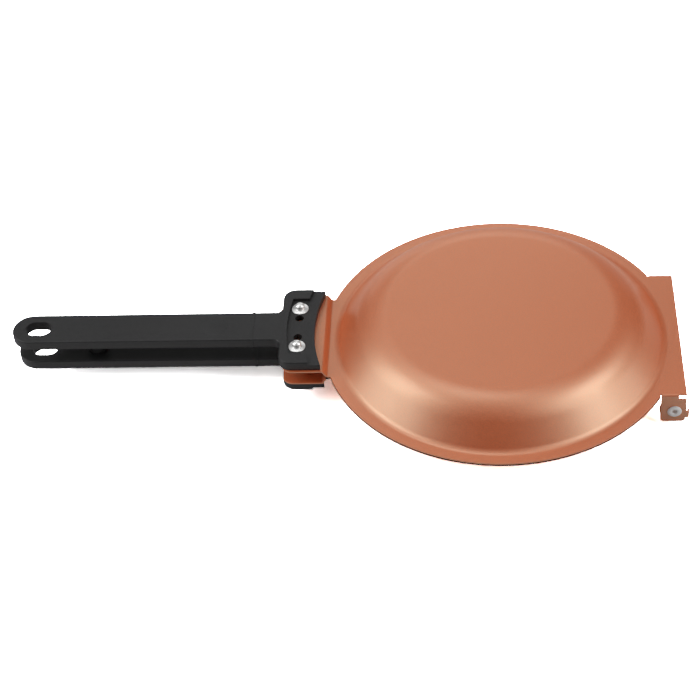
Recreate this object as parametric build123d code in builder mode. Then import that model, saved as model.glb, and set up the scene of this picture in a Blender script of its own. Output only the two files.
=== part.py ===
# Double sided flip pan: two pressed sheet halves hinged at one end, each with its own
# handle bolted to a tab at the other end.
#
# Frame: origin at the centre of the lower dish's flat floor, on its outer face, +Z up.
# The handles point to -X, the hinge is at +X, and the front of the pan is -Y.
from math import acos, asin, cos, degrees, radians, sin, tan
import os

from build123d import *

os.makedirs("parts", exist_ok=True)

# ---------------------------------------------------------------- driving sizes, mm
# Pressed halves: each is one sheet with a dish, a rim, a handle tab and two hinge ears
sheet = 0.8  # metal thickness
rim_gap = 0.3  # air between the closed rims, also between the closed magnet bosses
rim_radius = 100.0  # outer edge of the round rim
rim_width = 5.5  # flat rim outside the dish
dish_depth = 20.0  # rim face to the outside of the dish's flat floor
wall_angle = 48.0  # dish wall against the rim plane, degrees
shoulder_radius = 26.0  # outside rounding between wall and floor
foot_radius = 5.5  # outside rounding between wall and rim

# Handle tab, stepped away from the closing plane
tab_half_width = 32.2
tab_reach = 21.9  # tab end beyond the rim's edge
tab_corner = 6.0
step_inset = 3.5  # start of the step, inside the rim's edge
step_run = 2.4
step_rise = 3.8
step_bend = 1.2

# Hinge: the upper half's ears are folded down outside the lower half's ears
open_angle = 100.0  # full opening, where the upper ear's finger meets the lower ear
pivot_inset = 5.2  # pivot axis inside the rim's edge
pivot_drop = 11.9  # pivot axis below the upper rim face
flap_reach = 0.9  # upper flap's straight edge beyond the rim's edge
lower_flap_reach = 0.6  # lower flap's straight edge beyond the pivot axis
lower_ear_face = 48.8  # outer face of the lower ears, from the pan's centre line
spacer_thick = 0.5
side_play = 0.1  # spacer to the upper ear
ear_bend = 1.2  # outside rounding where an ear is folded down
relief_width = 0.8  # notch beside each fold
ear_inboard = 7.5  # pivot axis to the upper ear's inboard edge
ear_below = 7.8  # pivot axis to the upper ear's lower edge
ear_corner = 2.0
slot_start = 1.8  # slot over the upper ear, outboard of the pivot axis
slot_drop = 3.1  # lower edge of that slot, below the upper rim face
finger_reach = 8.2  # stop finger's outer face, outboard of the pivot axis
finger_top = 0.4  # below the pivot axis
finger_height = 4.6
finger_bend = 1.2
finger_lap = 0.2  # finger's end past the lower ear's inner face
cam_radius = 8.1  # wide side of the lower ear, which stops the finger
hub_radius = 6.7  # narrow side of the lower ear, which the finger runs round
lower_ear_inboard = 7.4  # pivot axis to the inboard edge of the lower ear's neck
stop_play = 2.5  # degrees left between finger and cam at full opening

# Tubular hinge rivets
rivet_radius = 2.0
rivet_bore = 1.3
rivet_head_radius = 3.9
rivet_head_thick = 0.9
rivet_head_round = 0.6
clench_radius = 2.9
clench_thick = 0.6
head_play = 0.05  # rivet head to the upper ear
hole_play = 0.05  # radial, shank to hole
spacer_radius = 3.6

# Moulded handles
handle_reach = 178.5  # handle tip beyond the rim's edge
handle_thick = 5.8
grip_half_width = 11.5
head_half_width = 31.0
head_outer_reach = 23.8  # head's outer side beyond the rim's edge
head_gap = 4.7  # rim's edge to the head's hollowed inner side
head_corner = 7.0
neck_fillet = 4.0
edge_round = 0.8  # outer edges of the moulding
base_round = 0.5  # edges on the inner side of the moulding
pocket_depth = 1.8
pocket_outer_reach = 20.3  # curved outer wall of the bolt pocket, beyond the rim's edge
pocket_half_width = 22.9
shelf_reach = 11.1  # curved end of the raised head corners, beyond the rim's edge
hang_inset = 15.1  # hanging slot's centre from the tip
hang_length = 15.0
hang_width = 11.2
band_reach = 40.0  # raised band round the grip, beyond the rim's edge
band_width = 1.2
band_proud = 0.4
dimple_reach = 61.5  # shallow round thumb dimple, beyond the rim's edge
dimple_radius = 7.5
dimple_depth = 0.35
lower_handle_shift = 1.6  # the lower handle sits this much nearer the hinge

# Handle bolts, lock washers and nuts
bolt_reach = 13.8  # bolt row beyond the rim's edge
bolt_offset = 15.8  # each bolt from the centre line
spare_offset = 7.9  # each spare locating hole from the centre line
spare_radius = 2.5
bolt_radius = 2.0
bolt_flange_radius = 4.8
bolt_flange_thick = 1.0
bolt_post_radius = 2.5
bolt_post_height = 2.0
bolt_dome_height = 1.1
bolt_end = 0.3  # shank left proud of the nut
washer_radius = 3.8
washer_thick = 0.7
nut_width = 7.0
nut_thick = 2.6
nut_chamfer = 0.3

# Closing magnets, one in a boss inside each handle
magnet_inset = 48.0  # magnet's centre from the handle tip
magnet_radius = 4.0
magnet_thick = 2.4
magnet_play = 0.05
cover_thick = 0.8
boss_radius = 5.6

# ---------------------------------------------------------------- places worked out
upper_face = dish_depth + 2 * sheet + rim_gap  # outer face of the upper rim
lower_face = dish_depth + sheet  # inner face of the lower rim
mid_z = (upper_face + dish_depth) / 2  # closing plane
mid_plane = Plane.XY.offset(mid_z)

dish_foot = rim_radius - rim_width
foot_corner = dish_foot - foot_radius * tan(radians(wall_angle / 2))
floor_corner = foot_corner - dish_depth / tan(radians(wall_angle))

step_x = -(rim_radius - step_inset)
tab_end = -(rim_radius + tab_reach)
tab_face = upper_face + step_rise  # outer face of the upper tab, which the handle sits on

pivot_x = rim_radius - pivot_inset
pivot_z = upper_face - pivot_drop
upper_ear_inner = lower_ear_face + spacer_thick + side_play
upper_ear_face = upper_ear_inner + sheet
upper_flap_x = rim_radius + flap_reach
lower_flap_x = pivot_x + lower_flap_reach
slot_z = upper_face - slot_drop
finger_inner = finger_reach - sheet
stop_angle = open_angle + stop_play + degrees(acos(finger_inner / cam_radius))

handle_top = tab_face + handle_thick
pocket_floor = handle_top - pocket_depth
tip_x = -(rim_radius + handle_reach)
head_outer_x = -(rim_radius + head_outer_reach)
bolt_x = -(rim_radius + bolt_reach)
hang_x = tip_x + hang_inset
bolt_dome_sphere = (bolt_post_radius**2 + bolt_dome_height**2) / (2 * bolt_dome_height)
dimple_sphere = (dimple_radius**2 + dimple_depth**2) / (2 * dimple_depth)
magnet_x = tip_x + magnet_inset
boss_end = mid_z + rim_gap / 2
magnet_seat = boss_end + cover_thick + magnet_thick
tab_inner = tab_face - sheet
lower_place = Location((lower_handle_shift, 0, 0))


def folded(plane, points, bend, length):
    """Fold a strip of sheet along points, its outer side, and extrude it along the plane."""
    with BuildSketch(plane) as strip:
        with BuildLine():
            FilletPolyline(*points, radius=bend)
            offset(amount=sheet, side=Side.RIGHT, kind=Kind.INTERSECTION)
        make_face()
    extrude(strip.sketch, amount=length)


def flap(face_z, edge_x, flat_half_width, corner_x, corner_half_width):
    """Fill the rim out to a straight edge, a little wider beyond the fold."""
    with BuildSketch(Plane.XY.offset(face_z)) as outline:
        with Locations((edge_x, 0)):
            Rectangle(edge_x, 2 * flat_half_width, align=(Align.MAX, Align.CENTER))
            if corner_x < edge_x:
                Rectangle(edge_x - corner_x, 2 * corner_half_width, align=(Align.MAX, Align.CENTER))
        Circle(dish_foot, mode=Mode.SUBTRACT)
    extrude(outline.sketch, amount=-sheet)


def fold_relief(face_z, ear_x, flat_half_width):
    """Cut the rim back beside the fold of each ear."""
    with BuildSketch(Plane.XY.offset(face_z)) as notch:
        for side in (-1, 1):
            with Locations((ear_x - relief_width, side * flat_half_width)):
                align = (Align.MIN, Align.MIN if side > 0 else Align.MAX)
                Rectangle(rim_radius, rim_radius, align=align)
    extrude(notch.sketch, amount=-sheet, mode=Mode.SUBTRACT)


def pivot_hole(face_y):
    """Drill one ear for its rivet."""
    with BuildSketch(Plane.XZ.offset(face_y)) as hole:
        with Locations((pivot_x, pivot_z)):
            Circle(rivet_radius + hole_play)
    extrude(hole.sketch, amount=-sheet, mode=Mode.SUBTRACT)


def bolt_row(face_z, row_x, depth):
    """Cut the bolt holes and spare locating holes of one handle or tab."""
    with BuildSketch(Plane.XY.offset(face_z)) as row:
        with Locations((row_x, -bolt_offset), (row_x, bolt_offset)):
            Circle(bolt_radius + hole_play)
        with Locations((row_x, -spare_offset), (row_x, spare_offset)):
            Circle(spare_radius)
    extrude(row.sketch, amount=-depth, mode=Mode.SUBTRACT)


def write(part, node):
    """Label a finished piece and write it under its node name."""
    part.label = node
    export_step(part, f"parts/{node}.step")


# ---------------------------------------------------------------- pressed halves
with BuildPart() as blank:
    # dish and rim, dome up
    with BuildSketch(Plane.XZ):
        with BuildLine():
            FilletPolyline(
                (0, upper_face + dish_depth),
                (floor_corner, upper_face + dish_depth),
                (foot_corner, upper_face),
                (rim_radius, upper_face),
                radius=(shoulder_radius, foot_radius),
            )
            offset(amount=sheet, side=Side.RIGHT, kind=Kind.INTERSECTION)
        make_face()
    revolve(axis=Axis.Z)
    # the rim ends where the tab's step begins
    with BuildSketch(Plane.XY.offset(upper_face)):
        with Locations((step_x, 0)):
            Rectangle(rim_radius, 2 * rim_radius, align=(Align.MAX, Align.CENTER))
    extrude(amount=-sheet, mode=Mode.SUBTRACT)
    # stepped handle tab
    with BuildSketch(Plane.XZ):
        with BuildLine():
            FilletPolyline(
                (tab_end, tab_face),
                (step_x - step_run, tab_face),
                (step_x, upper_face),
                (-dish_foot, upper_face),
                radius=step_bend,
            )
            offset(amount=sheet, side=Side.RIGHT, kind=Kind.INTERSECTION)
        make_face()
    extrude(amount=tab_half_width, both=True)
    fillet(blank.edges().filter_by(Axis.Z).group_by(Axis.X)[0], tab_corner)

with BuildPart() as upper_pan:
    add(blank.part)
    bolt_row(tab_face, bolt_x, sheet)
    ear_x = pivot_x - ear_inboard
    slot_x = pivot_x + slot_start
    flat_half_width = upper_ear_face - ear_bend
    fold_relief(upper_face, ear_x, flat_half_width)
    flap(upper_face, upper_flap_x, flat_half_width, slot_x, upper_ear_inner)
    # front ear: fold, plate and stop finger
    folded(
        Plane.YZ.offset(ear_x),
        [
            (-upper_ear_face, slot_z - sheet),
            (-upper_ear_face, upper_face),
            (sheet - flat_half_width, upper_face),
        ],
        ear_bend,
        slot_x - ear_x,
    )
    with BuildSketch(Plane.XZ.offset(upper_ear_face)) as upper_ear:
        with BuildLine():
            FilletPolyline(
                (ear_x, slot_z),
                (ear_x, pivot_z - ear_below),
                (upper_flap_x, pivot_z - ear_below),
                (upper_flap_x, slot_z),
                radius=(ear_corner, ear_corner),
            )
            Line((ear_x, slot_z), (upper_flap_x, slot_z))
        make_face()
    extrude(amount=-sheet)
    folded(
        Plane.XY.offset(pivot_z - finger_top - finger_height),
        [
            (pivot_x + finger_reach, sheet + finger_lap - lower_ear_face),
            (pivot_x + finger_reach, -upper_ear_face),
            (upper_flap_x - sheet, -upper_ear_face),
        ],
        finger_bend,
        finger_height,
    )
    pivot_hole(upper_ear_face)
    mirror(about=Plane.XZ)
write(upper_pan.part, "upper_pan")

with BuildPart() as lower_pan:
    add(mirror(blank.part, about=mid_plane, mode=Mode.PRIVATE))
    bolt_row(2 * mid_z - tab_inner, bolt_x + lower_handle_shift, sheet)
    neck_x = pivot_x - lower_ear_inboard
    lower_flat_half_width = lower_ear_face - ear_bend
    # the rim is cut straight at the hinge so that the upper flap can swing past it
    with BuildSketch(Plane.XY.offset(lower_face)):
        with Locations((lower_flap_x, 0)):
            Rectangle(rim_radius, 2 * rim_radius, align=(Align.MIN, Align.CENTER))
    extrude(amount=-sheet, mode=Mode.SUBTRACT)
    fold_relief(lower_face, neck_x, lower_flat_half_width)
    flap(lower_face, lower_flap_x, lower_flat_half_width, lower_flap_x, lower_flat_half_width)
    # front ear: fold and neck, then a plate that is wide inboard and narrow outboard
    folded(
        Plane.YZ.offset(neck_x),
        [
            (-lower_ear_face, pivot_z),
            (-lower_ear_face, lower_face),
            (sheet - lower_flat_half_width, lower_face),
        ],
        ear_bend,
        lower_flap_x - neck_x,
    )
    with BuildSketch(Plane.XZ.offset(lower_ear_face)) as lower_ear:
        with Locations((pivot_x, pivot_z)):
            Circle(cam_radius)
            Polygon(
                (0, 0),
                (2 * cam_radius * cos(radians(stop_angle)), -2 * cam_radius * sin(radians(stop_angle))),
                (2 * cam_radius, -2 * cam_radius),
                (2 * cam_radius, 2 * cam_radius),
                (0, 2 * cam_radius),
                align=None,
                mode=Mode.SUBTRACT,
            )
            Circle(hub_radius)
    extrude(amount=-sheet)
    pivot_hole(lower_ear_face)
    mirror(about=Plane.XZ)
write(lower_pan.part, "lower_pan")

# ---------------------------------------------------------------- handles
with BuildPart() as handle:
    # head with a hollowed inner side, and grip with a round tip
    with BuildSketch(Plane.XY.offset(tab_face)) as handle_outline:
        with Locations((head_outer_x, 0)):
            Rectangle(-head_outer_x, 2 * head_half_width, align=(Align.MIN, Align.CENTER))
        Circle(rim_radius + head_gap, mode=Mode.SUBTRACT)
        fillet(handle_outline.vertices().group_by(Axis.X)[0], head_corner)
        with Locations((tip_x + grip_half_width, 0)):
            Circle(grip_half_width)
            Rectangle(
                head_outer_x + head_corner - tip_x - grip_half_width,
                2 * grip_half_width,
                align=(Align.MIN, Align.CENTER),
            )
        head_side = handle_outline.vertices().filter_by_position(
            Axis.X, head_outer_x - sheet, head_outer_x + sheet
        )
        neck_half_width = grip_half_width + sheet
        fillet(head_side.filter_by_position(Axis.Y, -neck_half_width, neck_half_width), neck_fillet)
    extrude(amount=handle_thick)
    # raised band round the grip
    with BuildSketch(Plane.YZ.offset(-rim_radius - band_reach)) as band:
        with Locations((0, tab_face + handle_thick / 2)):
            RectangleRounded(
                2 * (grip_half_width + band_proud), handle_thick + band_proud, edge_round
            )
    # outer edges, before the band and the pocket break them up
    top_edges = handle.faces().sort_by(Axis.Z)[-1].edges()
    fillet(top_edges, edge_round)
    fillet(handle.faces().sort_by(Axis.Z)[0].edges(), base_round)
    extrude(band.sketch, amount=band_width / 2, both=True)
    # bolt pocket, open towards the pan, and the lower shelf beside it
    with BuildSketch(Plane.XY.offset(handle_top)) as pocket:
        Circle(rim_radius + pocket_outer_reach)
        with Locations((-rim_radius, 0)):
            Rectangle(rim_radius, 2 * pocket_half_width, mode=Mode.INTERSECT)
        Circle(rim_radius + shelf_reach)
    extrude(pocket.sketch, amount=-pocket_depth, mode=Mode.SUBTRACT)
    bolt_row(handle_top, bolt_x, handle_thick)
    # hanging slot
    with BuildSketch(Plane.XY.offset(handle_top)) as slot:
        with Locations((hang_x, 0)):
            SlotOverall(hang_length, hang_width)
    extrude(slot.sketch, amount=-handle_thick, mode=Mode.SUBTRACT)
    # shallow thumb dimple
    with Locations((-rim_radius - dimple_reach, 0, handle_top - dimple_depth + dimple_sphere)):
        Sphere(dimple_sphere, mode=Mode.SUBTRACT)

# the magnet boss is blind and open towards the other handle, and the bosses face each other
with BuildPart() as boss:
    with BuildSketch(Plane.XY.offset(boss_end)):
        with Locations((magnet_x, 0)):
            Circle(boss_radius)
    extrude(amount=tab_face - boss_end + base_round)

with BuildPart() as seat:
    with BuildSketch(Plane.XY.offset(boss_end)):
        with Locations((magnet_x, 0)):
            Circle(magnet_radius + magnet_play)
    extrude(amount=magnet_seat - boss_end)

with BuildPart() as upper_handle:
    add(handle.part)
    add(boss.part)
    add(seat.part, mode=Mode.SUBTRACT)
write(upper_handle.part, "upper_handle")

with BuildPart() as lower_handle:
    add(lower_place * mirror(handle.part, about=mid_plane, mode=Mode.PRIVATE))
    add(mirror(boss.part, about=mid_plane, mode=Mode.PRIVATE))
    add(mirror(seat.part, about=mid_plane, mode=Mode.PRIVATE), mode=Mode.SUBTRACT)
write(lower_handle.part, "lower_handle")

# ---------------------------------------------------------------- handle fasteners
for place, bolt_y in (("front", -bolt_offset), ("rear", bolt_offset)):
    with BuildPart() as bolt:
        # round flange with a domed post, turned in one profile
        with BuildSketch(Plane.XZ) as bolt_section:
            with BuildLine():
                dome_z = pocket_floor + bolt_flange_thick + bolt_post_height
                shank_end = tab_inner - washer_thick - nut_thick - bolt_end
                Polyline(
                    (0, dome_z + bolt_dome_height),
                    (0, shank_end),
                    (bolt_radius, shank_end),
                    (bolt_radius, pocket_floor),
                    (bolt_flange_radius, pocket_floor),
                    (bolt_flange_radius, pocket_floor + bolt_flange_thick / 2),
                    (bolt_post_radius, pocket_floor + bolt_flange_thick),
                    (bolt_post_radius, dome_z),
                )
                dome_span = degrees(asin(bolt_post_radius / bolt_dome_sphere))
                dome_centre = (0, dome_z + bolt_dome_height - bolt_dome_sphere)
                CenterArc(dome_centre, bolt_dome_sphere, 90 - dome_span, dome_span)
            make_face()
        revolve(axis=Axis.Z)
    with BuildPart() as washer:
        with BuildSketch(Plane.XY.offset(tab_inner)):
            Circle(washer_radius)
            Circle(bolt_radius + hole_play, mode=Mode.SUBTRACT)
        extrude(amount=-washer_thick)
    with BuildPart() as nut:
        with BuildSketch(Plane.XY.offset(tab_inner - washer_thick)):
            RegularPolygon(nut_width / 2, 6, major_radius=False)
            Circle(bolt_radius + hole_play, mode=Mode.SUBTRACT)
        extrude(amount=-nut_thick)
        nut_rims = nut.faces().sort_by(Axis.Z)[0].outer_wire().edges()
        chamfer(nut_rims, nut_chamfer)
    for piece, name in ((bolt, "bolt"), (washer, "lock_washer"), (nut, "nut")):
        placed = Location((bolt_x, bolt_y, 0)) * piece.part
        write(lower_place * mirror(placed, about=mid_plane), f"lower_{name}_{place}")
        write(placed, f"upper_{name}_{place}")

# ---------------------------------------------------------------- closing magnets
with BuildPart() as magnet:
    with BuildSketch(Plane.XY.offset(boss_end + cover_thick)):
        with Locations((magnet_x, 0)):
            Circle(magnet_radius)
    extrude(amount=magnet_thick)
write(magnet.part, "upper_magnet")
write(mirror(magnet.part, about=mid_plane), "lower_magnet")

with BuildPart() as cover:
    with BuildSketch(Plane.XY.offset(boss_end)):
        with Locations((magnet_x, 0)):
            Circle(magnet_radius)
    extrude(amount=cover_thick)
write(cover.part, "upper_magnet_cover")
write(mirror(cover.part, about=mid_plane), "lower_magnet_cover")

# ---------------------------------------------------------------- hinge rivets and spacers
with BuildPart() as rivet:
    head_y = upper_ear_face + head_play
    clench_y = lower_ear_face - sheet
    with BuildSketch(Plane.XZ.offset(clench_y - clench_thick)):
        with Locations((pivot_x, pivot_z)):
            Circle(clench_radius)
    extrude(amount=clench_thick)
    with BuildSketch(Plane.XZ.offset(clench_y)):
        with Locations((pivot_x, pivot_z)):
            Circle(rivet_radius)
    extrude(amount=head_y - clench_y)
    with BuildSketch(Plane.XZ.offset(head_y)):
        with Locations((pivot_x, pivot_z)):
            Circle(rivet_head_radius)
    extrude(amount=rivet_head_thick)
    head_rim = rivet.faces().sort_by(Axis.Y)[0].edges()
    fillet(head_rim, rivet_head_round)
    with BuildSketch(Plane.XZ.offset(clench_y - clench_thick)):
        with Locations((pivot_x, pivot_z)):
            Circle(rivet_bore)
    extrude(amount=head_y + rivet_head_thick, mode=Mode.SUBTRACT)
write(rivet.part, "hinge_rivet_front")
write(mirror(rivet.part, about=Plane.XZ), "hinge_rivet_rear")

with BuildPart() as spacer:
    with BuildSketch(Plane.XZ.offset(lower_ear_face)):
        with Locations((pivot_x, pivot_z)):
            Circle(spacer_radius)
            Circle(rivet_radius + hole_play, mode=Mode.SUBTRACT)
    extrude(amount=spacer_thick)
write(spacer.part, "hinge_spacer_front")
write(mirror(spacer.part, about=Plane.XZ), "hinge_spacer_rear")
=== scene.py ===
import bmesh
import bpy
import numpy as np
from mathutils import Matrix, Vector
from mathutils.geometry import delaunay_2d_cdt


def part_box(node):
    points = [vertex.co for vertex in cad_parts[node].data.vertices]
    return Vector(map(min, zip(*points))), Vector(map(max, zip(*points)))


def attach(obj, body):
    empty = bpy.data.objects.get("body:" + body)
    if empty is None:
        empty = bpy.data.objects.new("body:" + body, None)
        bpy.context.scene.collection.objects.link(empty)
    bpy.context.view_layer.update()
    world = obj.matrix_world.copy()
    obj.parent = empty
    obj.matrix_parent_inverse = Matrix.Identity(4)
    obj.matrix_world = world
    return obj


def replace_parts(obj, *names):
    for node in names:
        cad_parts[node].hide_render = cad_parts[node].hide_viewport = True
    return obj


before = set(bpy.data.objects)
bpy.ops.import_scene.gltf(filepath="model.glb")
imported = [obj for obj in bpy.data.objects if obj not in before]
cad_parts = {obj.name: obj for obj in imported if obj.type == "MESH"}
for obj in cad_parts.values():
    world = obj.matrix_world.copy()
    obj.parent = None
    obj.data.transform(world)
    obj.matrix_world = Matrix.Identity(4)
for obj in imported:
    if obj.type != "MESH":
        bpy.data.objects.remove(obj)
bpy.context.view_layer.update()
mm = 0.001  # shapes are worked out in millimetres, in the frame's own axes
weldGap, thinEdge = 2e-6, 1e-6  # metres: points this close are one, and edges this short go
repeatGap = 1e-4  # millimetres: a point this near the one before it repeats it
crossingGap = 1e-5  # millimetres: how near two edges of an outline may come
# points along the arcs: a small bend, a plate's corner, a fold, a hole, the rim and the cam
arcSteps = {"bend": 8, "corner": 10, "fold": 10, "hole": 48, "rim": 96, "cam": 24, "hub": 48}
print("frame loaded")


# shape helpers
def arc(centre, radius, start, end, steps):
    # centre plus radius times (cos, sin) of an angle that runs from start to end degrees
    turn = np.radians(np.linspace(start, end, steps + 1))
    return np.asarray(centre) + radius * np.c_[np.cos(turn), np.sin(turn)]


def cleanLoop(points):
    # drops a point that repeats the one before it
    points = np.asarray(points, float)
    step = np.linalg.norm(points - np.roll(points, 1, axis=0), axis=1)
    return points[step > repeatGap]


def gridFaces(rows, cols):
    # quads of a rows x cols grid of points, wound rows first
    index = np.arange(rows * cols).reshape(rows, cols)
    quads = np.stack((index[:-1, :-1], index[1:, :-1], index[1:, 1:], index[:-1, 1:]), axis=-1)
    return quads.reshape(-1, 4).tolist()


def gridPatch(points, flip=False):
    faces = gridFaces(*points.shape[:2])
    return points.reshape(-1, 3), [face[::-1] for face in faces] if flip else faces


def platePatch(outline, holes, place, flip=False):
    # a flat face between an outline and its holes; place lifts the plane's points into space
    loops = [cleanLoop(outline)] + [cleanLoop(hole) for hole in holes]
    ends = np.cumsum([0] + [len(loop) for loop in loops])
    edges = [
        (i, i + 1 if i + 1 < last else first)
        for first, last in zip(ends[:-1], ends[1:]) for i in range(first, last)
    ]
    insideOnly = 2
    made = delaunay_2d_cdt(np.vstack(loops).tolist(), edges, [], insideOnly, crossingGap)
    flat = np.array([tuple(point) for point in made[0]])
    # a triangle with all three corners on one hole's edge lies in that hole, and is left out
    triangles = np.array(made[2])
    loopOf = np.searchsorted(ends, [sources[0] for sources in made[3]], side="right")[triangles]
    inHole = (loopOf[:, 0] > 1) & (loopOf == loopOf[:, :1]).all(axis=1)
    triangles = triangles[~inHole]
    return place(flat), (triangles[:, ::-1] if flip else triangles).tolist()


def mirrored(patch):
    # the same patch on the other side of the XZ plane, still facing outwards
    points, faces = patch
    return points * (1, -1, 1), [face[::-1] for face in faces]


def makePiece(name, patches, body, material):
    points = np.vstack([patch[0] for patch in patches]) * mm
    starts = np.cumsum([0] + [len(patch[0]) for patch in patches])
    faces = [
        [int(i) + int(start) for i in face]
        for start, patch in zip(starts, patches) for face in patch[1]
    ]
    mesh = bpy.data.meshes.new(name)
    mesh.from_pydata(points.tolist(), [], faces)
    joined = bmesh.new()
    joined.from_mesh(mesh)
    bmesh.ops.remove_doubles(joined, verts=joined.verts, dist=weldGap)
    bmesh.ops.dissolve_degenerate(joined, edges=joined.edges, dist=thinEdge)
    joined.to_mesh(mesh)
    joined.free()
    mesh.shade_smooth()
    piece = bpy.data.objects.new(name, mesh)
    bpy.context.scene.collection.objects.link(piece)
    mesh.materials.append(material)
    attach(piece, body)
    return piece


sheetFinish = {"easeSegments": 2, "easeAngle": 50, "normalWeight": 60}


def thicken(piece, thickness, edgeRound):
    # gives a surface its wall on the side away from its normals, and eases the cut edges
    wall = piece.modifiers.new("wall", "SOLIDIFY")
    wall.thickness = thickness * mm
    wall.offset = -1
    wall.use_even_offset = True
    ease = piece.modifiers.new("easedEdges", "BEVEL")
    ease.width = edgeRound * mm
    ease.segments = sheetFinish["easeSegments"]
    ease.limit_method = "ANGLE"
    ease.angle_limit = np.radians(sheetFinish["easeAngle"])
    ease.use_clamp_overlap = True
    evenNormals = piece.modifiers.new("evenNormals", "WEIGHTED_NORMAL")
    evenNormals.keep_sharp = True
    evenNormals.weight = sheetFinish["normalWeight"]


# material helpers
def nodeGroup(name, inputs, outputs):
    # a shader node group with float inputs and outputs, and its two end nodes
    group = bpy.data.node_groups.new(name, "ShaderNodeTree")
    for label, kind, value in inputs:
        socket = group.interface.new_socket(name=label, in_out="INPUT", socket_type=kind)
        socket.default_value = value
    for label, kind in outputs:
        group.interface.new_socket(name=label, in_out="OUTPUT", socket_type=kind)
    return group, group.nodes.new("NodeGroupInput"), group.nodes.new("NodeGroupOutput")


speckleSetup = {"grainDetail": 2.0, "cloudDetail": 3.0, "grainLow": 0.3, "grainHigh": 0.7}


def makeSpeckle(setup):
    # fine grains and slow clouds over the surface: a value from 0 to 1 for each, and a height
    group, start, end = nodeGroup(
        "speckle",
        [("Grain Scale", "NodeSocketFloat", 2000.0), ("Cloud Scale", "NodeSocketFloat", 20.0)],
        [("Grain", "NodeSocketFloat"), ("Cloud", "NodeSocketFloat"), ("Height", "NodeSocketFloat")],
    )
    nodes, links = group.nodes, group.links
    where = nodes.new("ShaderNodeTexCoord")
    grain = nodes.new("ShaderNodeTexNoise")
    grain.inputs["Detail"].default_value = setup["grainDetail"]
    cloud = nodes.new("ShaderNodeTexNoise")
    cloud.inputs["Detail"].default_value = setup["cloudDetail"]
    for noise, label in ((grain, "Grain Scale"), (cloud, "Cloud Scale")):
        links.new(where.outputs["Object"], noise.inputs["Vector"])
        links.new(start.outputs[label], noise.inputs["Scale"])
    spread = nodes.new("ShaderNodeMapRange")
    spread.inputs["From Min"].default_value = setup["grainLow"]
    spread.inputs["From Max"].default_value = setup["grainHigh"]
    links.new(grain.outputs["Fac"], spread.inputs["Value"])
    links.new(spread.outputs["Result"], end.inputs["Grain"])
    links.new(cloud.outputs["Fac"], end.inputs["Cloud"])
    links.new(grain.outputs["Fac"], end.inputs["Height"])
    return group


speckle = makeSpeckle(speckleSetup)


def makeRimShade():
    # 1 on faces farther out than Radius and above Height, which is the lower rim's cut edge, where shade
    # is painted
    group, start, end = nodeGroup(
        "rimShade",
        [("Radius", "NodeSocketFloat", 0.1), ("Height", "NodeSocketFloat", 0.02)],
        [("Mask", "NodeSocketFloat")],
    )
    nodes, links = group.nodes, group.links
    where = nodes.new("ShaderNodeTexCoord")
    split = nodes.new("ShaderNodeSeparateXYZ")
    links.new(where.outputs["Object"], split.inputs["Vector"])
    flat = nodes.new("ShaderNodeCombineXYZ")
    links.new(split.outputs["X"], flat.inputs["X"])
    links.new(split.outputs["Y"], flat.inputs["Y"])
    radius = nodes.new("ShaderNodeVectorMath")
    radius.operation = "LENGTH"
    links.new(flat.outputs["Vector"], radius.inputs[0])
    tests = []
    for value, label in ((radius.outputs["Value"], "Radius"), (split.outputs["Z"], "Height")):
        test = nodes.new("ShaderNodeMath")
        test.operation = "GREATER_THAN"
        links.new(value, test.inputs[0])
        links.new(start.outputs[label], test.inputs[1])
        tests.append(test)
    both = nodes.new("ShaderNodeMath")
    both.operation = "MULTIPLY"
    links.new(tests[0].outputs["Value"], both.inputs[0])
    links.new(tests[1].outputs["Value"], both.inputs[1])
    links.new(both.outputs["Value"], end.inputs["Mask"])
    return group


rimShade = makeRimShade()


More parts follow.
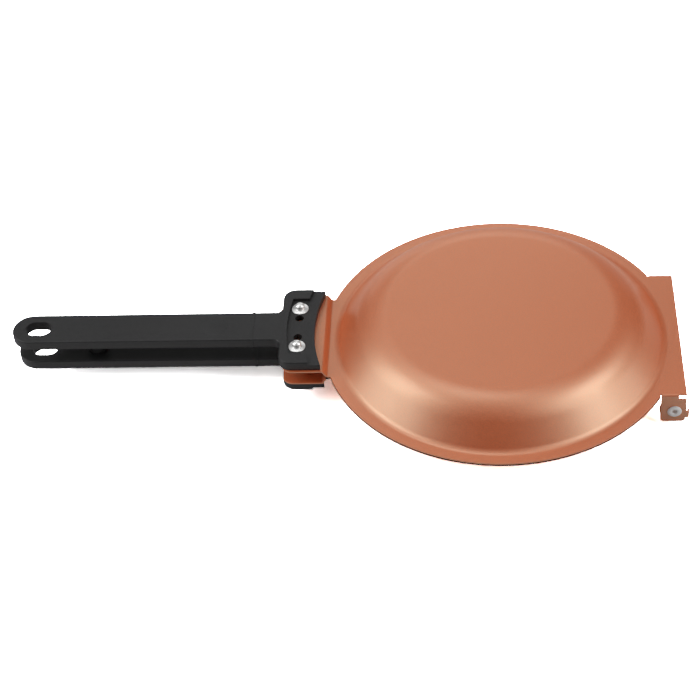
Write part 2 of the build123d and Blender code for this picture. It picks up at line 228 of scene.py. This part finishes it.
def surfaceMaterial(name, look):
    # two tones mixed by grain and cloud, roughness that varies with the grain, and a fine bump
    material = bpy.data.materials.new(name)
    material.use_nodes = True
    nodes, links = material.node_tree.nodes, material.node_tree.links
    shader = nodes["Principled BSDF"]
    shader.inputs["Metallic"].default_value = look["metallic"]
    shader.inputs["IOR"].default_value = look["ior"]
    shader.inputs["Specular Tint"].default_value = (*look.get("sheen", (1, 1, 1)), 1)
    shader.inputs["Coat Weight"].default_value = look.get("coat", 0.0)
    shader.inputs["Coat Roughness"].default_value = look.get("coatRoughness", 0.25)
    field = nodes.new("ShaderNodeGroup")
    field.node_tree = speckle
    field.inputs["Grain Scale"].default_value = look["grainScale"]
    field.inputs["Cloud Scale"].default_value = look["cloudScale"]
    tone = nodes.new("ShaderNodeMix")
    tone.data_type = "RGBA"
    tone.inputs["A"].default_value = (*look["deep"], 1)
    tone.inputs["B"].default_value = (*look["bright"], 1)
    blend = nodes.new("ShaderNodeMix")
    blend.inputs["Factor"].default_value = look["cloudShare"]
    links.new(field.outputs["Grain"], blend.inputs["A"])
    links.new(field.outputs["Cloud"], blend.inputs["B"])
    links.new(blend.outputs["Result"], tone.inputs["Factor"])
    colour = tone
    # painted shade: a dark, fully metallic tone where the mask is 1
    if "paintedShadeTone" in look:
        edge = nodes.new("ShaderNodeGroup")
        edge.node_tree = rimShade
        edge.inputs["Radius"].default_value = look["edgeRadius"] * mm
        edge.inputs["Height"].default_value = look["edgeHeight"] * mm
        colour = nodes.new("ShaderNodeMix")
        colour.data_type = "RGBA"
        colour.inputs["B"].default_value = (*look["paintedShadeTone"], 1)
        links.new(edge.outputs["Mask"], colour.inputs["Factor"])
        links.new(tone.outputs["Result"], colour.inputs["A"])
        links.new(edge.outputs["Mask"], shader.inputs["Metallic"])
    links.new(colour.outputs["Result"], shader.inputs["Base Color"])
    rough = nodes.new("ShaderNodeMapRange")
    rough.inputs["To Min"].default_value = look["roughness"] - look["roughSpread"]
    rough.inputs["To Max"].default_value = look["roughness"] + look["roughSpread"]
    links.new(blend.outputs["Result"], rough.inputs["Value"])
    links.new(rough.outputs["Result"], shader.inputs["Roughness"])
    bump = nodes.new("ShaderNodeBump")
    bump.inputs["Distance"].default_value = look["bumpDepth"] * mm
    bump.inputs["Strength"].default_value = look["bumpStrength"]
    links.new(field.outputs["Height"], bump.inputs["Height"])
    links.new(bump.outputs["Normal"], shader.inputs["Normal"])
    return material


copperLook = {
    "deep": (0.46, 0.058, 0.002), "bright": (0.63, 0.084, 0.004), "metallic": 0.0, "ior": 3.5,
    "roughness": 0.46, "roughSpread": 0.06, "grainScale": 1500.0, "cloudScale": 14.0,
    "cloudShare": 0.25, "bumpDepth": 0.06, "bumpStrength": 0.3, "coat": 0.3, "sheen": (1.0, 0.86, 0.61),
}
# painted shade: the lower sheet's cut edge is given a dark tone, for the shade it sits in under the upper
# rim
lowerCopperLook = dict(copperLook, paintedShadeTone=(0.03, 0.012, 0.008), edgeRadius=99.7, edgeHeight=19.9)
plasticLook = {
    "deep": (0.010, 0.010, 0.0103), "bright": (0.024, 0.024, 0.0245), "metallic": 0.0, "ior": 1.46,
    "roughness": 0.48, "roughSpread": 0.08, "grainScale": 1600.0, "cloudScale": 30.0,
    "cloudShare": 0.4, "bumpDepth": 0.04, "bumpStrength": 0.2,
}
zincLook = {
    "deep": (0.80, 0.80, 0.79), "bright": (0.94, 0.94, 0.93), "metallic": 0.75, "ior": 1.5,
    "roughness": 0.4, "roughSpread": 0.06, "grainScale": 1800.0, "cloudScale": 120.0,
    "cloudShare": 0.5, "bumpDepth": 0.03, "bumpStrength": 0.2,
}
rivetLook = dict(
    zincLook, deep=(0.86, 0.86, 0.85), bright=(0.95, 0.95, 0.94), metallic=0.3, roughness=0.42,
)
nickelLook = dict(zincLook, deep=(0.5, 0.48, 0.45), bright=(0.66, 0.64, 0.6), roughness=0.18)

copper = surfaceMaterial("copperPaint", copperLook)
lowerCopper = surfaceMaterial("copperPaintLower", lowerCopperLook)
plastic = surfaceMaterial("handlePlastic", plasticLook)
zinc = surfaceMaterial("zincPlate", zincLook)
rivetMetal = surfaceMaterial("rivetPlate", rivetLook)
nickel = surfaceMaterial("nickelPlate", nickelLook)
print("materials made")


# pressed pans
panSizes = {
    "sheet": 0.8, "rimRadius": 100.0, "rimWidth": 5.5, "depth": 20.0, "wallAngle": 48.0,
    "shoulder": 26.0, "foot": 5.5, "turns": 288, "edgeRound": 0.16, "floorRings": 12,
    "shoulderRings": 26, "wallRings": 9, "footRings": 16,
}
tabSizes = {
    "halfWidth": 32.2, "reach": 21.9, "corner": 6.0, "inset": 3.5, "run": 2.4, "rise": 3.8,
    "bend": 1.2, "boltReach": 13.8, "boltOffset": 15.8, "boltHole": 2.05, "spareOffset": 7.9,
    "spareHole": 2.5, "lowerShift": 1.6,
}
hingeSizes = {
    "inset": 5.2, "drop": 11.9, "upperFlap": 0.9, "lowerFlap": 0.6, "lowerFace": 48.8,
    "upperFace": 50.2, "upperInner": 49.4, "bend": 1.2, "relief": 0.8, "inboard": 7.5,
    "below": 7.8, "corner": 2.0, "slotStart": 1.8, "slotDrop": 3.1, "fingerReach": 8.2,
    "fingerTop": 0.4, "fingerHeight": 4.6, "fingerBend": 1.2, "fingerEnd": 47.8, "cam": 8.1,
    "hub": 6.7, "camEnd": 233.50, "lowerInboard": 7.4, "hole": 2.05,
}
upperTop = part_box("upper_pan")[1].z / mm
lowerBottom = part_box("lower_pan")[0].z / mm
upperRim = upperTop - panSizes["depth"]  # outer face of the upper rim
lowerRim = lowerBottom + panSizes["depth"] + panSizes["sheet"]  # inner face of the lower rim
pivotX = panSizes["rimRadius"] - hingeSizes["inset"]
pivotZ = upperRim - hingeSizes["drop"]
dishEdge = panSizes["rimRadius"] - panSizes["rimWidth"]


def dishProfile(inset):
    # radius and height over the rim: a flat floor, an arc, a straight wall and an arc, each
    # tangent to the next; an arc's tangent length is its radius times tan of half the lean
    s, lean = panSizes, panSizes["wallAngle"]
    shoulder, foot = s["shoulder"] - inset, s["foot"] + inset
    footCorner = dishEdge - s["foot"] * np.tan(np.radians(lean / 2))
    floorCorner = footCorner - s["depth"] / np.tan(np.radians(lean))
    shoulderX = floorCorner - s["shoulder"] * np.tan(np.radians(lean / 2))
    across = np.linspace(0, shoulderX, s["floorRings"])[:-1]
    floor = np.c_[across, np.full(len(across), s["depth"] - inset)]
    shoulderArc = arc((shoulderX, s["depth"] - s["shoulder"]), shoulder, 90, 90 - lean, s["shoulderRings"])
    footArc = arc((dishEdge, s["foot"]), foot, 270 - lean, 270, s["footRings"])
    wall = np.linspace(shoulderArc[-1], footArc[0], s["wallRings"])[1:-1]
    return np.vstack((floor, shoulderArc, wall, footArc))


def stepProfile(inset):
    # x outwards and height of the stepped tab: two arcs tangent to a sloping straight
    t = tabSizes
    slope = np.degrees(np.arctan2(t["rise"], t["run"]))
    tangent = t["bend"] * np.tan(np.radians(slope / 2))
    first = panSizes["rimRadius"] - t["inset"]
    bends = arcSteps["bend"]
    inner = arc((first - tangent, t["bend"]), t["bend"] + inset, 270, 270 + slope, bends)
    outerCentre = (first + t["run"] + tangent, t["rise"] - t["bend"])
    outer = arc(outerCentre, t["bend"] - inset, 90 + slope, 90, bends)
    return np.vstack((inner, outer))


def rimOutline(notchX, foldHalfWidth, flapX, cornerX, cornerHalfWidth, tabX):
    # the front half of the flat rim from the tab round to the flap, then its mirror image
    radius, half = panSizes["rimRadius"], tabSizes["halfWidth"]
    tabTurn = 180 + np.degrees(np.arcsin(half / radius))
    notchTurn = 360 - np.degrees(np.arccos(notchX / radius))
    foldX = notchX + hingeSizes["relief"]
    front = np.vstack((
        [(-tabX, -half)],
        arc((0, 0), radius, tabTurn, notchTurn, arcSteps["rim"]),
        [(notchX, -foldHalfWidth), (foldX, -foldHalfWidth), (cornerX, -foldHalfWidth)],
        [(cornerX, -cornerHalfWidth), (flapX, -cornerHalfWidth)],
    ))
    return np.vstack((front, front[::-1] * (1, -1)))


def earFold(x0, x1, face, height, bottom):
    # the sheet turned down through a quarter circle, then straight to the ear's plate
    bend = hingeSizes["bend"]
    turn = arc((bend - face, height - bend), bend, 90, 180, arcSteps["fold"])
    profile = np.vstack((turn, [(-face, bottom)]))
    xs = np.array([x0, x1])
    points = np.stack([np.c_[np.full(len(profile), x), profile] for x in xs], axis=0)
    return gridPatch(points, flip=True)


def ring(centre, radius):
    return arc(centre, radius, 0, 360, arcSteps["hole"])[:-1]


def upperEar():
    # the fold, the plate with its rivet hole, and the stop finger turned in through a quarter circle
    h = hingeSizes
    x0, slotX = pivotX - h["inboard"], pivotX + h["slotStart"]
    flapX = panSizes["rimRadius"] + h["upperFlap"]
    slotZ, low, corner = upperRim - h["slotDrop"], pivotZ - h["below"], h["corner"]
    fingerTop = pivotZ - h["fingerTop"]
    fingerLow = fingerTop - h["fingerHeight"]
    fingerX = pivotX + h["fingerReach"]
    bendX = fingerX - h["fingerBend"]
    outline = np.vstack((
        [(x0, slotZ)],
        arc((x0 + corner, low + corner), corner, 180, 270, arcSteps["bend"]),
        arc((flapX - corner, low + corner), corner, 270, 360, arcSteps["bend"]),
        [(flapX, fingerLow), (bendX, fingerLow), (bendX, fingerTop), (flapX, fingerTop)],
        [(flapX, slotZ), (slotX, slotZ)],
    ))
    face = h["upperFace"]
    plate = platePatch(
        outline, [ring((pivotX, pivotZ), h["hole"])],
        lambda flat: np.c_[flat[:, 0], np.full(len(flat), -face), flat[:, 1]],
    )
    bend = arc((bendX, h["fingerBend"] - face), h["fingerBend"], 270, 360, arcSteps["bend"])
    profile = np.vstack((bend, [(fingerX, -h["fingerEnd"])]))
    levels = (fingerLow, fingerTop)
    finger = np.stack([np.c_[profile, np.full(len(profile), z)] for z in levels], axis=1)
    return [earFold(x0, slotX, face, upperRim, slotZ), plate, gridPatch(finger)]


def lowerEar():
    # the fold and a plate that is round about the rivet: a cam's arc, then a smaller hub's
    h = hingeSizes
    x0, x1 = pivotX - h["lowerInboard"], pivotX + h["lowerFlap"]
    face, top = h["lowerFace"], lowerRim - h["bend"]
    camStart = 180 - np.degrees(np.arccos(h["lowerInboard"] / h["cam"]))
    hubEnd = 360 + np.degrees(np.arccos(h["lowerFlap"] / h["hub"]))
    outline = np.vstack((
        [(x0, top)],
        arc((pivotX, pivotZ), h["cam"], camStart, h["camEnd"], arcSteps["cam"]),
        arc((pivotX, pivotZ), h["hub"], h["camEnd"], hubEnd, arcSteps["hub"]),
        [(x1, top)],
    ))
    plate = platePatch(
        outline, [ring((pivotX, pivotZ), h["hole"])],
        lambda flat: np.c_[flat[:, 0], np.full(len(flat), -face), flat[:, 1]],
    )
    return [earFold(x0, x1, face, lowerRim, top), plate]


def makePan(name, sign, inset, rim, ear, outline, rowShift):
    # sign is +1 where the dish rises from the rim and -1 where it sinks; the dish's points are
    # the profile's radius times (cos, sin) of the turn, at the rim's height plus its own height
    turn = np.linspace(0, 2 * np.pi, panSizes["turns"] + 1)
    profile = dishProfile(inset)
    radius, height = profile[:, 0, None], profile[:, 1, None] + inset
    level = rim + sign * height + 0 * turn
    dish = np.stack((radius * np.cos(turn), radius * np.sin(turn), level), axis=-1)
    dishRing = np.c_[dishEdge * np.cos(turn[:-1]), dishEdge * np.sin(turn[:-1])]
    flat = platePatch(outline, [dishRing], lambda p: np.c_[p, np.full(len(p), rim)])
    step = stepProfile(inset)
    x, z = -step[:, 0], rim + sign * (step[:, 1] + inset)
    half = tabSizes["halfWidth"]
    tabStep = np.stack((np.c_[x, 0 * x - half, z], np.c_[x, 0 * x + half, z]), axis=1)
    end, corner = -(panSizes["rimRadius"] + tabSizes["reach"]), tabSizes["corner"]
    tabOutline = np.vstack((
        [(x[-1], half)],
        arc((end + corner, half - corner), corner, 90, 180, arcSteps["corner"]),
        arc((end + corner, corner - half), corner, 180, 270, arcSteps["corner"]),
        [(x[-1], -half)],
    ))
    boltX = rowShift - panSizes["rimRadius"] - tabSizes["boltReach"]
    kinds = (("boltOffset", "boltHole"), ("spareOffset", "spareHole"))
    holes = [
        ring((boltX, side * tabSizes[offset]), tabSizes[size])
        for side in (-1, 1) for offset, size in kinds
    ]
    tab = platePatch(tabOutline, holes, lambda p: np.c_[p, np.full(len(p), z[-1])])
    ears = ear()
    patches = [gridPatch(dish), flat, gridPatch(tabStep, flip=True), tab, *ears]
    patches += [mirrored(patch) for patch in ears]
    body = "upper_half" if sign > 0 else "lower_half"
    pan = makePiece(name, patches, body, copper if sign > 0 else lowerCopper)
    thicken(pan, panSizes["sheet"], panSizes["edgeRound"])
    return pan


upperFlapX = panSizes["rimRadius"] + hingeSizes["upperFlap"]
lowerFlapX = pivotX + hingeSizes["lowerFlap"]
upperFold = hingeSizes["upperFace"] - hingeSizes["bend"]
lowerFold = hingeSizes["lowerFace"] - hingeSizes["bend"]
upperOutline = rimOutline(
    pivotX - hingeSizes["inboard"] - hingeSizes["relief"], upperFold, upperFlapX,
    pivotX + hingeSizes["slotStart"], hingeSizes["upperInner"], stepProfile(0)[0, 0],
)
lowerOutline = rimOutline(
    pivotX - hingeSizes["lowerInboard"] - hingeSizes["relief"], lowerFold, lowerFlapX,
    lowerFlapX, lowerFold, stepProfile(panSizes["sheet"])[0, 0],
)
upperPan = makePan("upperPanSheet", 1, 0, upperRim, upperEar, upperOutline, 0)
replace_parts(upperPan, "upper_pan")
lowerPan = makePan(
    "lowerPanSheet", -1, panSizes["sheet"], lowerRim, lowerEar, lowerOutline, tabSizes["lowerShift"],
)
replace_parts(lowerPan, "lower_pan")
print("pans made")


# turned fasteners
turnedSteps = {"around": 72, "ease": 6}


def spun(profile, place):
    # radius times (cos, sin) of the turn, and height; the profile runs up the outside
    turn = np.linspace(0, 2 * np.pi, turnedSteps["around"] + 1)
    radius, height = profile[:, 0, None], profile[:, 1, None]
    points = np.stack((radius * np.cos(turn), radius * np.sin(turn), height + 0 * turn), axis=-1)
    flat, faces = gridPatch(points, flip=True)
    return place(flat), faces


def smoothCorner(before, corner, after, radius):
    # rounds one corner of a profile: an arc tangent to both of its sides
    corner = np.asarray(corner, float)
    back, ahead = (np.asarray(p, float) - corner for p in (before, after))
    back, ahead = back / np.linalg.norm(back), ahead / np.linalg.norm(ahead)
    half = np.arccos(np.clip(back @ ahead, -1, 1)) / 2
    middle = (back + ahead) / np.linalg.norm(back + ahead)
    centre = corner + middle * radius / np.sin(half)
    first, last = (corner + side * radius / np.tan(half) - centre for side in (back, ahead))
    share = np.linspace(0, 1, turnedSteps["ease"] + 1)[:, None]
    sweep = np.pi - 2 * half
    reach = np.sin((1 - share) * sweep) * first + np.sin(share * sweep) * last
    return centre + reach / np.sin(sweep)


def easedProfile(corners):
    # corners are (radius, height, rounding) in order; a rounding of 0 keeps the corner sharp
    rows = np.array(corners, float)
    points = [rows[:1, :2]]
    for before, corner, after in zip(rows[:-2], rows[1:-1], rows[2:]):
        if corner[2] > 0:
            points.append(smoothCorner(before[:2], corner[:2], after[:2], corner[2]))
        else:
            points.append(corner[None, :2])
    points.append(rows[-1:, :2])
    return np.vstack(points)


boltSizes = {
    "shank": 2.0, "shankLow": -7.65, "tipChamfer": 0.3, "flange": 4.8, "flangeThick": 1.0,
    "post": 2.5, "postHigh": 3.0, "domeHigh": 1.1, "domeSteps": 12, "seatEase": 0.12,
    "tipEase": 0.1, "edgeEase": 0.2, "rootEase": 0.4,
}


def boltProfile(b):
    # from the shank's tip up to the flange, the post and the top of its dome
    ball = (b["post"] ** 2 + b["domeHigh"] ** 2) / (2 * b["domeHigh"])
    span = np.degrees(np.arcsin(b["post"] / ball))
    dome = arc((0, b["postHigh"] + b["domeHigh"] - ball), ball, 90 - span, 90, b["domeSteps"])
    lower = easedProfile([
        (0, b["shankLow"], 0), (b["shank"] - b["tipChamfer"], b["shankLow"], b["tipEase"]),
        (b["shank"], b["shankLow"] + b["tipChamfer"], b["tipEase"]), (b["shank"], 0, 0),
        (b["flange"], 0, b["seatEase"]), (b["flange"], b["flangeThick"] / 2, b["edgeEase"]),
        (b["post"], b["flangeThick"], b["rootEase"]), (b["post"], b["postHigh"], b["edgeEase"]),
        (*dome[1], 0),
    ])
    return np.vstack((lower, dome[2:]))


def boltPieces():
    # each bolt stands on its pocket's floor, and the lower ones hang head down
    profile = boltProfile(boltSizes)
    headHigh = boltSizes["postHigh"] + boltSizes["domeHigh"]
    for node in [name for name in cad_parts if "_bolt_" in name]:
        low, high = (np.array(corner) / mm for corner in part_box(node))
        sign = 1 if node.startswith("upper") else -1
        seat = (high[2] if sign > 0 else low[2]) - sign * headHigh
        middle = (low + high) / 2
        patch = spun(
            profile, lambda p: p * (1, sign, sign) + (middle[0], middle[1], seat),
        )
        body = "upper_half" if sign > 0 else "lower_half"
        name = node.replace("_bolt_", "Bolt").replace("front", "Front").replace("rear", "Rear")
        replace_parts(makePiece(name, [patch], body, zinc), node)


boltPieces()
print("bolts made")

rivetSizes = {
    "shank": 2.0, "bore": 1.3, "head": 3.9, "headThick": 0.9, "headEdge": 0.4, "crown": 2.3,
    "crownRound": 2.8, "crownEnd": 62, "crownSteps": 8, "lipRound": 0.5, "lipEnd": 100,
    "lipDrop": 0.55, "lipSteps": 6, "clench": 2.9, "clenchThick": 0.6, "boreEase": 0.2,
    "fineEase": 0.1, "seatEase": 0.15, "clenchEase": 0.25,
}


def rivetPieces():
    # a tube whose outer end is rolled into a low round crown and whose inner end is clenched flat
    r = rivetSizes
    for node in [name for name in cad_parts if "hinge_rivet" in name]:
        low, high = (np.array(corner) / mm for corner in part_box(node))
        side = -1 if "front" in node else 1
        outer, inner = (abs(low[1]), abs(high[1])) if side < 0 else (high[1], low[1])
        seat = outer - r["headThick"]
        crown = arc(
            (r["crown"], outer - r["crownRound"]), r["crownRound"], 90, r["crownEnd"], r["crownSteps"],
        )
        lip = arc(
            (r["bore"] + r["lipRound"], outer - r["lipDrop"]), r["lipRound"], 180, r["lipEnd"],
            r["lipSteps"],
        )
        boreEnd = inner + r["boreEase"]
        clenchTop = inner + r["clenchThick"]
        profile = np.vstack((
            easedProfile([
                (r["bore"], boreEnd, 0), (r["bore"] + r["boreEase"], inner, r["fineEase"]),
                (r["clench"], inner, r["clenchEase"]), (r["clench"], clenchTop, r["fineEase"]),
                (r["shank"], clenchTop, 0), (r["shank"], seat, 0), (r["head"], seat, r["seatEase"]),
                (r["head"], seat + r["headEdge"], r["fineEase"]), (*crown[-1], 0),
            ]),
            crown[::-1][1:], lip[::-1], [(r["bore"], boreEnd)],
        ))
        patch = spun(
            profile, lambda p: np.c_[p[:, 0] + pivotX, side * p[:, 2], pivotZ - side * p[:, 1]],
        )
        name = "rivetFront" if side < 0 else "rivetRear"
        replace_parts(makePiece(name, [patch], "lower_half", rivetMetal), node)


rivetPieces()
print("rivets made")

# carried-over nodes
nodeFinish = {
    "handle": plastic, "magnet_cover": plastic, "bolt_front": zinc, "bolt_rear": zinc,
    "lock_washer": zinc, "nut": zinc, "spacer": zinc, "rivet": rivetMetal, "magnet": nickel,
}
for node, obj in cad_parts.items():
    finish = next((m for word, m in nodeFinish.items() if word in node), copper)
    obj.data.materials.clear()
    obj.data.materials.append(finish)
print("nodes finished")

# studio
cameraSetup = {
    "place": (-0.01247, -0.77457, 0.73734), "yaw": -5.388, "pitch": 42.999, "roll": 4.389,
    "lens": 95.333, "sensor": 36.0, "nearest": 0.01, "farthest": 20,
}


def makeCamera(setup):
    # yaw turns the view from +Y towards +X, pitch looks down, and roll tips the frame
    yaw, pitch, roll = (np.radians(setup[key]) for key in ("yaw", "pitch", "roll"))
    forward = np.array((np.sin(yaw) * np.cos(pitch), np.cos(yaw) * np.cos(pitch), -np.sin(pitch)))
    level = np.array((np.cos(yaw), -np.sin(yaw), 0))
    down = np.cross(forward, level)
    right = np.cos(roll) * level + np.sin(roll) * down
    up = np.sin(roll) * level - np.cos(roll) * down
    data = bpy.data.cameras.new("camera")
    data.lens = setup["lens"]
    data.sensor_width = setup["sensor"]
    data.clip_start, data.clip_end = setup["nearest"], setup["farthest"]
    camera = bpy.data.objects.new("camera", data)
    turn = Matrix(np.c_[right, up, -forward].tolist()).to_4x4()
    camera.matrix_world = Matrix.Translation(setup["place"]) @ turn
    bpy.context.scene.collection.objects.link(camera)
    bpy.context.scene.camera = camera
    return camera


makeCamera(cameraSetup)

softboxSize, softboxDistance = 0.55, 1.4
softboxes = [  # azimuth and elevation in degrees, and watts: a bright left and right, a weak rear
    (180, 50, 4.6), (180, 28, 2.7), (202, 28, 2.5), (180, 8, 1.4), (150, 50, 0.4),
    (0, 50, 4.6), (338, 28, 4.1), (330, 50, 1.6), (0, 8, 2.2), (0, 72, 0.8),
    (90, 28, 1.4), (120, 72, 2.1), (60, 72, 0.3), (120, 50, 0.5),
    (112, 8, 0.9), (90, 8, 0.4), (68, 8, 0.4),
]
for azimuth, elevation, watts in softboxes:
    turn, lift = np.radians((azimuth, elevation))
    away = np.array((np.cos(turn) * np.cos(lift), np.sin(turn) * np.cos(lift), np.sin(lift)))
    data = bpy.data.lights.new("softbox", "AREA")
    data.shape, data.size, data.energy = "SQUARE", softboxSize, watts
    lamp = bpy.data.objects.new("softbox", data)
    side = np.array((-np.sin(turn), np.cos(turn), 0))
    lamp.matrix_world = (
        Matrix.Translation(away * softboxDistance)
        @ Matrix(np.c_[side, np.cross(away, side), away].tolist()).to_4x4()
    )
    bpy.context.scene.collection.objects.link(lamp)

worldStrength = 0.02
world = bpy.data.worlds.new("studioWorld")
world.use_nodes = True
world.node_tree.nodes["Background"].inputs["Color"].default_value = (1, 1, 1, 1)
world.node_tree.nodes["Background"].inputs["Strength"].default_value = worldStrength
bpy.context.scene.world = world
bpy.context.scene.view_settings.view_transform = "Standard"

floorSetup = {"reach": 6.0, "drop": 0.0003, "bounce": 0.7, "seen": 7.0}
floorMesh = bpy.data.meshes.new("studioFloor")
corners = np.array(((-1, -1, 0), (1, -1, 0), (1, 1, 0), (-1, 1, 0))) * floorSetup["reach"]
floorMesh.from_pydata(corners.tolist(), [], [(0, 1, 2, 3)])
floor = bpy.data.objects.new("studioFloor", floorMesh)
floor.location.z = -floorSetup["drop"]  # just under the pan's floor, so that the two don't flicker


def floorMaterial(setup):
    # matt and pale; it is shown brighter than it lights the pan, so that it reads as white
    paint = bpy.data.materials.new("paleFloor")
    paint.use_nodes = True
    nodes, links = paint.node_tree.nodes, paint.node_tree.links
    nodes.remove(nodes["Principled BSDF"])
    matt = nodes.new("ShaderNodeBsdfDiffuse")
    path = nodes.new("ShaderNodeLightPath")
    level = nodes.new("ShaderNodeMix")
    level.inputs["A"].default_value = setup["bounce"]
    level.inputs["B"].default_value = setup["seen"]
    links.new(path.outputs["Is Camera Ray"], level.inputs["Factor"])
    links.new(level.outputs["Result"], matt.inputs["Color"])
    links.new(matt.outputs["BSDF"], nodes["Material Output"].inputs["Surface"])
    return paint


floorMesh.materials.append(floorMaterial(floorSetup))
bpy.context.scene.collection.objects.link(floor)
print("studio made")
